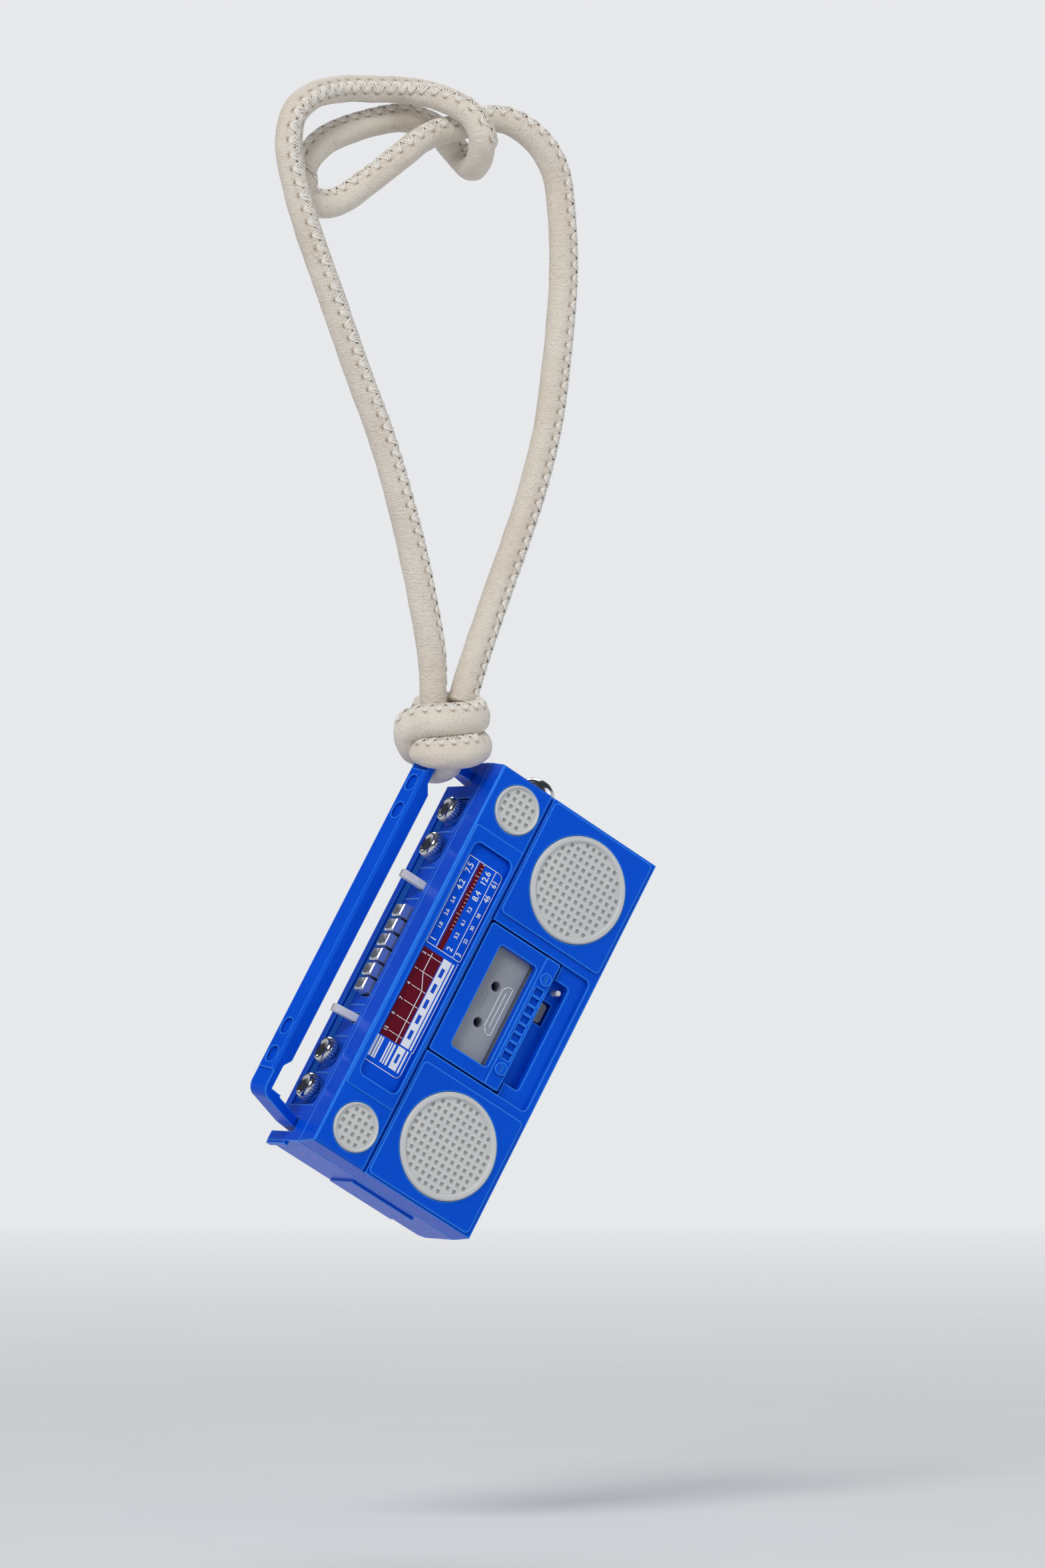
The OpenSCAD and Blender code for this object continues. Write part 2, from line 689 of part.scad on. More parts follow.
module cabinet_screws() {
    color(silver) hang()
        for (s = [-1, 1], p = [post_up, post_low]) {
            rod_y(s * p[0], p[1], 0.6, body_d - screw_l, body_d - 0.6);
            difference() {
                rod_y(s * p[0], p[1], 1.15, body_d - 0.7, body_d - 0.1);
                translate([s * p[0], body_d - 0.1, p[1]]) {
                    box([-0.7, -0.25, -0.12], [0.7, 1, 0.12]);
                    box([-0.12, -0.25, -0.7], [0.12, 1, 0.7]);
                }
            }
        }
}

// Handle standing upright over its pivots
module upright_handle() {
    top = handle_reach + bar_h / 2;
    er = 1.9;
    shoulder_x = arm_x1 - shoulder_in;
    inner_x = arm_x0 - shoulder_in;
    difference() {
        union() {
            slab(-bar_w / 2, bar_w / 2) {
                // Bar, with arms that splay out from its rounded shoulders
                translate([-shoulder_x + er, top - shoulder_h])
                    square([2 * shoulder_x - 2 * er, shoulder_h - 0.35]);
                for (s = [-1, 1]) {
                    difference() {
                        translate([s * (shoulder_x - er), top - 0.35 - er]) circle(er);
                        translate([s > 0 ? inner_x - 2 * er : -inner_x, top - shoulder_h - 2 * er])
                            square(2 * er);
                    }
                    polygon([
                        [s * arm_x0, 0], [s * arm_x1, 0], [s * arm_x1, splay_z],
                        [s * shoulder_x, top - 0.35 - er], [s * (shoulder_x - er), top - 0.4 - er / 2],
                        [s * inner_x, top - shoulder_h], [s * arm_x0, splay_z]]);
                }
                polygon([
                    [-cut_x - cut_h, top - shoulder_h], [-cut_x, top - bar_h], [cut_x, top - bar_h],
                    [cut_x + cut_h, top - shoulder_h]]);
            }
            // Raised middle of the bar, bevelled along its edges
            bar_x(-raised_x, raised_x) polygon([
                [-bar_w / 2, top - 1], [bar_w / 2, top - 1], [bar_w / 2, top - 0.35],
                [bar_w / 2 - 0.35, top], [-bar_w / 2 + 0.35, top], [-bar_w / 2, top - 0.35]]);
            for (s = [-1, 1]) {
                rod_x(0, 0, bar_w / 2, s > 0 ? arm_x0 : -arm_x1, s > 0 ? arm_x1 : -arm_x0);
                rod_x(0, 0, trunnion_r, s * (arm_x0 + arm_x1) / 2 - arm_w / 2 - 0.6,
                    s * (arm_x0 + arm_x1) / 2 + arm_w / 2 + 0.6);
            }
        }
        // Four oval dimples in the bar's top
        for (s = [-1, 1], x = [raised_x - 7.3, raised_x - 2.4])
            translate([s * x, 0, top - 0.6]) linear_extrude(1) {
                square([hollow_l - hollow_w, hollow_w], center = true);
                for (e = [-1, 1])
                    translate([e * (hollow_l - hollow_w) / 2, 0]) circle(hollow_w / 2);
            }
    }
}

// The handle hangs with its right arm against the side of its notch
module handle() {
    color(blue) hang() translate([handle_play, pivot_y, pivot_z])
        rotate([handle_lean, 0, 0]) upright_handle();
}

module leather_loop() {
    path = smooth_route(route, route_steps);
    color(cream) at_hitch() polyhedron(
        points = tube_points(path, cord_r, route_sides),
        faces = tube_faces(len(path), route_sides));
}

// Knot tied round the handle's right shoulder, with the turn that passes under the bar
module knot_body() {
    at_hitch() {
        translate([knot_x, knot_y, knot_z]) rotate_extrude() {
            translate([4.7, 2.4]) circle(2.45);
            translate([4.5, -1.9]) circle(2.3);
            translate([0, -4.1]) square([4.6, 4.1 + knot_top]);
        }
        translate([knot_x - 0.7, 0, knot_z - 6.5]) {
            for (y = [turn_y0, turn_y1])
                translate([0, y, 0]) {
                    cylinder(r = turn_r, h = 3);
                    sphere(turn_r);
                }
            translate([0, turn_y1, 0]) rotate([90, 0, 0])
                cylinder(r = turn_r, h = turn_y1 - turn_y0);
        }
    }
}

module leather_knot() {
    top = handle_reach + bar_h / 2;
    color(cream) difference() {
        knot_body();
        // Room for the bar's end and the arm
        hang() translate([handle_play, pivot_y, pivot_z]) rotate([handle_lean, 0, 0]) {
            box([10, -bar_w / 2 - knot_fit, top - shoulder_h - knot_fit],
                [arm_x1 + knot_fit, bar_w / 2 + knot_fit, top + knot_fit]);
            box([arm_x0 - shoulder_in - knot_fit, -bar_w / 2 - knot_fit, 0],
                [arm_x1 + knot_fit, bar_w / 2 + knot_fit, top]);
        }
    }
}

front_shell();
rear_shell();
control_deck();
dial_plate();
left_woofer_grille();
right_woofer_grille();
left_tweeter_grille();
right_tweeter_grille();
cassette_door();
cassette();
tape_head();
guide_pin();
outer_left_knob();
inner_left_knob();
inner_right_knob();
outer_right_knob();
left_lever();
right_lever();
key_1();
key_2();
key_3();
key_4();
key_5();
key_6();
key_guide();
side_knob();
side_pin();
cabinet_screws();
handle();
leather_loop();
leather_knot();
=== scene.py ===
"""Looks of the miniature radio charm and its stitched leather loop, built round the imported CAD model."""
import json
import math

import bmesh
import bpy
from mathutils import Matrix, Vector, noise


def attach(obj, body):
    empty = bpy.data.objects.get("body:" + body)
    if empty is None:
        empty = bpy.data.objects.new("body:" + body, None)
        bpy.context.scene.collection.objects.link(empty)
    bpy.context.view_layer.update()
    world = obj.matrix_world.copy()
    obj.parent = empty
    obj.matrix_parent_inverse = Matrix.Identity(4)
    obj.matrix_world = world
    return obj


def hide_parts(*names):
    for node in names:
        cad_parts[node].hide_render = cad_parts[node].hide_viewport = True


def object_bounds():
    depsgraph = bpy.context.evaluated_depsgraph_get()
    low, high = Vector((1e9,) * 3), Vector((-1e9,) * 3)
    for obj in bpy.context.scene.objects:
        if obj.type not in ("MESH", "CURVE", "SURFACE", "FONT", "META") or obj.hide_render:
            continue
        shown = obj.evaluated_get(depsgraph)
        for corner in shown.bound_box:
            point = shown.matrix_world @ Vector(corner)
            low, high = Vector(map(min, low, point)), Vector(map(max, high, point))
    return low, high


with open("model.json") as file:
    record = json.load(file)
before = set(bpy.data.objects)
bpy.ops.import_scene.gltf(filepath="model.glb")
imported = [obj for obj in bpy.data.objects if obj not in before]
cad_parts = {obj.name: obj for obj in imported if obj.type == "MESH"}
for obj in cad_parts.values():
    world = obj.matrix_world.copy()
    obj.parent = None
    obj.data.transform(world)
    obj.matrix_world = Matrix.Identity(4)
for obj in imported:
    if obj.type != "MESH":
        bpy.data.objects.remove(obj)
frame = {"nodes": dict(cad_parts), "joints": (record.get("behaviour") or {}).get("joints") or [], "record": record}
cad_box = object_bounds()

MM = 0.001
scene = bpy.context.scene
nodes = frame["nodes"]

# ---------------------------------------------------------------- places, from the record
joints = {j["name"]: j for j in frame["joints"]}
mounts = {m["name"]: m for m in frame["record"]["mounts"]}
AXIS_X = Vector(joints["handle_hinge"]["axis"])          # along the radio, left to right
AXIS_Y = Vector((0.0, 1.0, 0.0))                         # front to rear
AXIS_Z = AXIS_X.cross(AXIS_Y)                            # up the radio
BODY_H = 31.2
BASE_Y = 8                                               # depth at which the base mount lies
RADIO = Vector(mounts["base_face"]["pos_m"]) + AXIS_Z * (BODY_H / 2 * MM) - AXIS_Y * (BASE_Y * MM)


def radio(x, y, z):
    """A point measured in mm along the radio, in metres in the row frame."""
    return RADIO + (AXIS_X * x + AXIS_Y * y + AXIS_Z * z) * MM


def hung(p):
    """A point measured in mm from the radio's middle with the charm hanging, in metres."""
    return RADIO + Vector(p) * MM


# ---------------------------------------------------------------- camera and lamps
AZ, EL = math.radians(28.789), math.radians(-1.173)
DISTANCE, ASIDE, ABOVE = 1.1769, 0.00538, 0.03338        # of the camera from the radio's middle, in metres
look = Vector((math.sin(AZ) * math.cos(EL), math.cos(AZ) * math.cos(EL), -math.sin(EL)))
right = Vector((math.cos(AZ), -math.sin(AZ), 0.0))
up = right.cross(look)
camera = bpy.data.objects.new("camera", bpy.data.cameras.new("camera"))
scene.collection.objects.link(camera)
camera.location = RADIO - look * DISTANCE + right * ASIDE + up * ABOVE
camera.rotation_euler = Matrix((right, up, -look)).transposed().to_euler()
camera.data.sensor_width = 36
camera.data.lens = 175.7
camera.data.clip_start = 0.01
camera.data.clip_end = 20
scene.camera = camera

LIT = RADIO + Vector((0, 0.005, 0.05))                   # the point at which the lamps aim


def area_light(name, offset, size, power, colour):
    """A lamp at an offset from the lit point; offset and size in metres, power in watts."""
    lamp = bpy.data.lights.new(name, "AREA")
    lamp.shape = "RECTANGLE"
    lamp.size, lamp.size_y = size
    lamp.energy = power
    lamp.color = colour
    item = bpy.data.objects.new(name, lamp)
    scene.collection.objects.link(item)
    item.location = LIT + Vector(offset)
    item.rotation_euler = (LIT - item.location).to_track_quat("-Z", "Y").to_euler()


area_light("key", (-0.88, -0.75, 0.95), (0.5, 0.5), 12.0, (1.0, 0.985, 0.96))
area_light("fill", (1.1, -0.8, 0.25), (0.9, 1.2), 4.5, (0.95, 0.98, 1.0))
area_light("rim", (0.5, 1.0, 0.9), (0.8, 0.6), 4.0, (0.96, 0.98, 1.0))
scene.view_settings.view_transform = "Standard"


# ---------------------------------------------------------------- node helpers
class Nodes:
    """A node tree: tree(kind, properties, socket=value or node output, ...) adds a node. i0 means the first socket."""

    def __init__(self, tree):
        self.tree = tree
        self.tree.nodes.clear()

    def put(self, slot, value):
        if isinstance(value, bpy.types.NodeSocket):
            self.tree.links.new(value, slot)
        else:
            slot.default_value = value

    def __call__(self, kind, props=None, **sockets):
        node = self.tree.nodes.new("ShaderNode" + kind)
        for key, value in (props or {}).items():
            setattr(node, key, value)
        for key, value in sockets.items():
            by_index = key[0] == "i" and key[1:].isdigit()
            self.put(node.inputs[int(key[1:]) if by_index else key.replace("_", " ")], value)
        return node

    def math(self, operation, *values, clamp=False):
        node = self("Math", {"operation": operation, "use_clamp": clamp})
        for slot, value in zip(node.inputs, values):
            self.put(slot, value)
        return node.outputs[0]

    def range(self, value, a, b, lo, hi):
        """The value's way from a to b, as a number from lo to hi."""
        return self("MapRange", i0=value, i1=a, i2=b, i3=lo, i4=hi).outputs[0]

    def mix(self, fac, a, b):
        """Colour a at 0 and b at 1; a colour is a socket, or three or four numbers."""
        node = self("Mix", {"data_type": "RGBA"}, i0=fac)
        for slot, value in ((6, a), (7, b)):
            plain = not isinstance(value, bpy.types.NodeSocket) and len(value) == 3
            self.put(node.inputs[slot], (*value, 1) if plain else value)
        return node.outputs[2]

    def noise(self, coord, scale, detail=3.0, rough=0.55):
        return self("TexNoise", Vector=coord, Scale=scale, Detail=detail, Roughness=rough).outputs["Fac"]

    def coord(self, kind="Object"):
        return self("TexCoord").outputs[kind]

    def stretched(self, coord, scale):
        return self("Mapping", Vector=coord, Scale=scale).outputs[0]

    def bump(self, height, strength, distance, normal=None):
        extra = {} if normal is None else {"Normal": normal}
        return self("Bump", Strength=strength, Distance=distance, Height=height, **extra).outputs[0]

    def seen(self):
        """1 where the camera, a mirror or clear plastic sees the surface, 0 where it only sends light."""
        ray = self("LightPath").outputs
        direct = self.math("ADD", ray["Is Camera Ray"], ray["Is Glossy Ray"], clamp=True)
        return self.math("ADD", direct, ray["Is Transmission Ray"], clamp=True)


class Material(Nodes):
    def __init__(self, name):
        self.material = bpy.data.materials.new(name)
        self.material.use_nodes = True
        super().__init__(self.material.node_tree)

    def finish(self, shader=None, **sockets):
        """Ends in the given shader, or else in a principled one with these sockets."""
        if shader is None:
            shader = self("BsdfPrincipled", **sockets).outputs[0]
        self("OutputMaterial", Surface=shader)
        return self.material


# ---------------------------------------------------------------- room
# Mirrors see the pale backdrop near the horizon and behind, and a darker room above and in front
BACK = (0.80, 0.81, 0.83, 1)
ROOM = (0.05, 0.055, 0.065, 1)
SKY = (0.92, 0.95, 1.0, 1)
SKY_POWER = 0.45
world = bpy.data.worlds.new("studio")
scene.world = world
world.use_nodes = True
w = Nodes(world.node_tree)
where = w("SeparateXYZ", i0=w.coord("Generated")).outputs
above = w.range(where[2], 0.08, 0.36, 0.0, 1.0)
in_front = w.range(where[1], 0.1, -0.65, 0.0, 0.93)
mirrored = w.mix(w.math("MAXIMUM", above, in_front), BACK, ROOM)
shown = w.mix(w("LightPath").outputs["Is Camera Ray"], mirrored, BACK)
w("OutputWorld", Surface=w(
    "MixShader", i0=w.seen(),
    i1=w("Background", Color=SKY, Strength=SKY_POWER).outputs[0],
    i2=w("Background", Color=shown, Strength=1.0).outputs[0]).outputs[0])

# ---------------------------------------------------------------- materials of the CAD pieces
GRAIN_DEEP = 0.04 * MM
PAINTED_SHADE_REACH = 1.1 * MM                                  # surfaces this near each other get darker: painted shade
PAINTED_HIGHLIGHT_REACH = 0.28 * MM                                    # width of the painted highlight along a moulded edge
# colour of the painted highlight along convex moulded edges
PAINTED_HIGHLIGHT_BLUE = (0.05, 0.31, 0.97)
BLUE_GLOSS = (0.12, 0.6, 1.0)
GRILLE_FACE = min(v.co.y for v in nodes["left_woofer_grille"].data.vertices) + 0.4 * MM


def moulded(m, colours, worn):
    """Cloudy moulded plastic with small scuffs: its colour, its height for the bump, and the scuffs."""
    base, dark, light = colours
    at = m.coord()
    cloud, fine, marks = m.noise(at, worn["cloud"], 4), m.noise(at, 2600, 2), m.noise(at, 900, 5, 0.7)
    tone = m.mix(m.range(cloud, 0.3, 0.7, 0, 1), dark, light)
    tone = m.mix(m.range(marks, worn["from"], 0.8, 0, worn["most"]), tone, base)
    return tone, m.math("ADD", fine, marks), marks


def plastic(name, base, dark, light, rough, grain, specular=0.5, gloss=(1, 1, 1), edge=0.0):
    """edge is the radius in metres that moulded edges get in the shading, with painted shade in hollows and a painted
    highlight along convex rims.
    """
    m = Material(name)
    colour, height, marks = moulded(m, (base, dark, light), {"cloud": 60, "from": 0.62, "most": 0.35})
    round_edge = None
    if edge:
        round_edge = m("Bevel", {"samples": 6}, Radius=edge).outputs[0]
        # painted shade: the colour darkens where other surfaces come near
        painted_shade = m("AmbientOcclusion", {"samples": 6}, Distance=PAINTED_SHADE_REACH).outputs["AO"]
        colour = m.mix(m.range(painted_shade, 0.2, 0.75, 0.25, 0), colour, [c * 0.12 for c in base])
        # painted highlight: convex edges are painted a lighter blue
        inside = {"samples": 8, "inside": True, "only_local": True}
        rim = m("AmbientOcclusion", inside, Distance=PAINTED_HIGHLIGHT_REACH).outputs["AO"]
        colour = m.mix(m.range(rim, 0.6, 0.95, 0.75, 0), colour, PAINTED_HIGHLIGHT_BLUE)
    return m.finish(
        Base_Color=colour,
        Roughness=m.range(marks, 0.3, 0.7, *rough),
        Normal=m.bump(height, grain, GRAIN_DEEP, round_edge),
        Specular_IOR_Level=specular,
        Specular_Tint=(*gloss, 1),
    )


def grille_material(name):
    """Moulded pale plastic whose dimple floors, 0.2 mm below the face, get painted shade."""
    m = Material(name)
    tone, height, marks = moulded(
        m, ((0.50, 0.50, 0.49), (0.545, 0.555, 0.56), (0.60, 0.605, 0.60)), {"cloud": 80, "from": 0.6, "most": 0.3})
    depth = m("SeparateXYZ", Vector=m.coord()).outputs[1]
    # painted shade on the dimple floors, darker the deeper they lie
    dimple_shade = m.range(depth, GRILLE_FACE + 0.03 * MM, GRILLE_FACE + 0.18 * MM, 0, 0.5)
    return m.finish(
        Base_Color=m.mix(dimple_shade, tone, (0.30, 0.285, 0.26)),
        Roughness=m.range(marks, 0.3, 0.7, 0.45, 0.6),
        Normal=m.bump(height, 0.3, GRAIN_DEEP),
        Specular_IOR_Level=0.4,
    )


def metal(name, colour, rough, grain, metallic=1.0):
    m = Material(name)
    at = m.coord()
    smear, fine = m.noise(at, 500, 4, 0.6), m.noise(at, 4200, 2)
    return m.finish(
        Base_Color=m.mix(m.range(smear, 0.35, 0.75, 0, 1), colour, [c * 0.82 for c in colour]),
        Metallic=metallic,
        Roughness=m.range(smear, 0.3, 0.75, *rough),
        Normal=m.bump(fine, grain, 0.03 * MM),
    )


# name, then the colour of its scuffs, its dark and its light clouds, its range of roughness and its grain
# the last argument turns on painted shade in hollows and a painted highlight along moulded edges
blue = plastic(
    "blue_plastic", (0.0008, 0.085, 0.70), (0.0004, 0.064, 0.60), (0.0008, 0.077, 0.68),
    (0.26, 0.36), 0.14, 0.4, BLUE_GLOSS, 0.2 * MM)
dial_blue = plastic(
    "dial_blue", (0.001, 0.08, 0.70), (0.0005, 0.062, 0.60), (0.001, 0.074, 0.68),
    (0.3, 0.4), 0.1, 0.25, BLUE_GLOSS)
grille_white = grille_material("grille_plastic")
tape_grey = plastic(
    "cassette_plastic", (0.35, 0.36, 0.375), (0.24, 0.255, 0.285), (0.315, 0.33, 0.365), (0.36, 0.5), 0.2, 0.35)
head_grey = plastic("head_plastic", (0.24, 0.25, 0.26), (0.17, 0.18, 0.2), (0.22, 0.23, 0.245), (0.4, 0.5), 0.2, 0.3)
pin_white = plastic("pin_plastic", (0.72, 0.71, 0.68), (0.64, 0.63, 0.60), (0.70, 0.69, 0.66), (0.4, 0.5), 0.2)
ink_white = plastic(
    "ink_white", (0.80, 0.83, 0.88), (0.68, 0.72, 0.80), (0.78, 0.81, 0.87), (0.42, 0.55), 0.15, 0.2)
ink_red = plastic(
    "ink_red", (0.14, 0.001, 0.015), (0.095, 0.0008, 0.010), (0.125, 0.001, 0.013), (0.4, 0.55), 0.15, 0.1)
ink_blue = plastic(
    "ink_blue", (0.001, 0.075, 0.62), (0.0005, 0.055, 0.5), (0.001, 0.068, 0.58), (0.36, 0.46), 0.15, 0.2)
chrome = metal("knob_chrome", (0.60, 0.61, 0.63), (0.12, 0.2), 0.03)
key_chrome = metal("key_chrome", (0.66, 0.69, 0.76), (0.2, 0.3), 0.05, 0.85)
lever_metal = metal("lever_metal", (0.96, 0.93, 0.84), (0.3, 0.45), 0.8, 0.2)
screw_steel = metal("screw_steel", (0.48, 0.48, 0.49), (0.25, 0.4), 0.1)

CAD_LOOK = [                                             # material, width of the rounded edges in mm, nodes
    (blue, 0.24, ["front_shell", "rear_shell", "cassette_door", "key_guide"]),
    (blue, 0.12, ["handle"]),
    (blue, None, ["control_deck"]),
    (dial_blue, 0.08, ["dial_plate"]),
    (grille_white, 0.05, ["left_woofer_grille", "right_woofer_grille", "left_tweeter_grille", "right_tweeter_grille"]),
    (tape_grey, 0.12, ["cassette"]),
    (head_grey, 0.12, ["tape_head"]),
    (pin_white, None, ["guide_pin"]),
    (chrome, 0.05, ["outer_left_knob", "inner_left_knob", "inner_right_knob", "outer_right_knob", "side_knob",
                    "side_pin"]),
    (key_chrome, 0.07, ["key_1", "key_2", "key_3", "key_4", "key_5", "key_6"]),
    (lever_metal, 0.05, ["left_lever", "right_lever"]),
    (screw_steel, None, ["cabinet_screws"]),
]
for material, width, names in CAD_LOOK:
    for name in names:
        piece = nodes[name]
        piece.data.materials.clear()
        piece.data.materials.append(material)
        if width is None:
            continue
        weld = piece.modifiers.new("weld", "WELD")
        weld.merge_threshold = 1e-6
        edge = piece.modifiers.new("edge", "BEVEL")
        edge.width = width * MM
        edge.segments = 3
        edge.limit_method = "ANGLE"
        edge.angle_limit = math.radians(35)
        edge.use_clamp_overlap = True
        soft = piece.modifiers.new("soft", "WEIGHTED_NORMAL")
        soft.keep_sharp = True


# ---------------------------------------------------------------- mesh helpers
def mesh_piece(name, verts, faces, material, body, smooth=True):
    mesh = bpy.data.meshes.new(name)
    mesh.from_pydata([tuple(v) for v in verts], [], faces)
    mesh.update()
    if smooth:
        mesh.polygons.foreach_set("use_smooth", [True] * len(mesh.polygons))
    mesh.materials.append(material)
    item = bpy.data.objects.new(name, mesh)
    scene.collection.objects.link(item)
    if body:
        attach(item, body)
    return item


def polar(angle, radius=1.0):
    """The two coordinates of a point on a circle, from its angle in degrees."""
    return radius * math.cos(math.radians(angle)), radius * math.sin(math.radians(angle))


def curve_point(a, b, c, d, t):
    """A point of the smooth curve through a, b, c and d, between b and c."""
    return 0.5 * (2 * b + (c - a) * t + (2 * a - 5 * b + 4 * c - d) * t * t + (3 * b - a - 3 * c + d) * t ** 3)


def smooth_line(points, step, samples=24):
    """Points every `step` mm along the smooth curve through the given points, and its length."""
    pts = [Vector(p) for p in points]
    fine = []
    last = len(pts) - 1
    for i in range(last):
        a, b, c, d = pts[max(i - 1, 0)], pts[i], pts[i + 1], pts[min(i + 2, last)]
        fine += [curve_point(a, b, c, d, s / samples) for s in range(samples)]
    fine.append(pts[-1])
    total = sum((b - a).length for a, b in zip(fine, fine[1:]))
    count = max(2, round(total / step))
    line, walked, k = [fine[0]], 0.0, 0
    for n in range(1, count):
        goal = total * n / count
        while walked + (fine[k + 1] - fine[k]).length < goal:
            walked += (fine[k + 1] - fine[k]).length
            k += 1
        line.append(fine[k].lerp(fine[k + 1], (goal - walked) / (fine[k + 1] - fine[k]).length))
    line.append(fine[-1])
    return line, total


def turned_between(keys, f):
    """The direction at fraction f of a list of (fraction, direction) pairs, with eased turns."""
    for (fa, va), (fb, vb) in zip(keys, keys[1:]):
        if f <= fb:
            t = (f - fa) / (fb - fa)
            return Vector(va).lerp(Vector(vb), t * t * (3 - 2 * t))
    return Vector(keys[-1][1])


def sized(size, f):
    """A plain size, or the size at fraction f of a list of (fraction, size) pairs."""
    if isinstance(size, float):
        return size
    for (fa, a), (fb, b) in zip(size, size[1:]):
        if f <= fb:
            return a + (b - a) * (f - fa) / (fb - fa)
    return size[-1][1]


def squared(direction, along):
    """The part of a direction that is square to the cord."""
    return (direction - along * direction.dot(along)).normalized()


# ---------------------------------------------------------------- leather
def leather_material(name):
    m = Material(name)
    uv, at = m.coord("UV"), m.coord()
    stain = m("Attribute", {"attribute_name": "stain"}).outputs["Fac"]
    cloud, pores = m.noise(at, 90, 4), m.noise(at, 2400, 3)
    crease = m.noise(m.stretched(uv, (0.35, 1.3, 1)), 2.2, 5, 0.62)
    lines = m.noise(m.stretched(uv, (0.8, 3.2, 1)), 1.0, 4, 0.65)
    grain = m("TexVoronoi", Vector=at, Scale=4200).outputs["Distance"]
    tone = m.mix(m.range(cloud, 0.3, 0.7, 0, 1), (0.76, 0.67, 0.57), (0.83, 0.765, 0.67))
    # painted shade: the leather is painted darker along the crease lines that also bump it
    tone = m.mix(m.range(crease, 0.56, 0.75, 0, 0.35), tone, (0.66, 0.57, 0.46))
    # painted shade: the stitch holes and the seam groove are painted dark brown
    tone = m.mix(stain, tone, (0.24, 0.14, 0.07))
    height = m.math("MULTIPLY_ADD", lines, 1.6, m.math("MULTIPLY_ADD", grain, 0.35, pores))
    return m.finish(
        Base_Color=tone,
        Roughness=m.range(pores, 0.3, 0.7, 0.45, 0.62),
        Normal=m.bump(height, 0.8, 0.2 * MM, m.bump(crease, 0.8, 0.3 * MM)),
        Sheen_Weight=0.12,
        Sheen_Roughness=0.4,
    )


def thread_material(name):
    m = Material(name)
    twist = m.noise(m.coord(), 3000, 3)
    tone = m.mix(m.range(twist, 0.3, 0.7, 0, 1), (0.76, 0.71, 0.63), (0.88, 0.85, 0.79))
    return m.finish(Base_Color=tone, Roughness=0.5, Normal=m.bump(twist, 0.6, 0.05 * MM), Sheen_Weight=0.2)


leather = leather_material("leather")
thread = thread_material("seam_thread")

# Sizes of the cord in mm, and places round it in degrees from the seam
SIDES = 54
GIRTH = 12.6
DOME = 1.2                                               # length of a closed end
UNEVEN = 0.09                                            # how far the hand-made surface strays
GROOVE_WIDE, GROOVE_DEEP = 5, 0.05                       # the seam itself
LIP_AT, LIP_WIDE, LIP_HIGH = 12, 10, 0.2                 # the leather's two edges beside it
HOLE_WIDE, HOLE_DEEP = 6.5, 0.2                          # the holes, at hole_at to each side
PULL_WIDE = 0.17                                         # how far along a thread pulls the lip down, in pitches
SLANT = 0.45                                             # how far on the second side's holes lie, in pitches
# The thread of the whip stitches
STRANDS, STRAND_SIDES, STRAND_STEPS = 5, 5, 8
STRAND_R = 0.085
FAN = 0.45                                               # how far the strands spread over the lips, in pitches
SUNK, ARCH = 0.16, 0.44                                  # depth of their ends, height of their middle


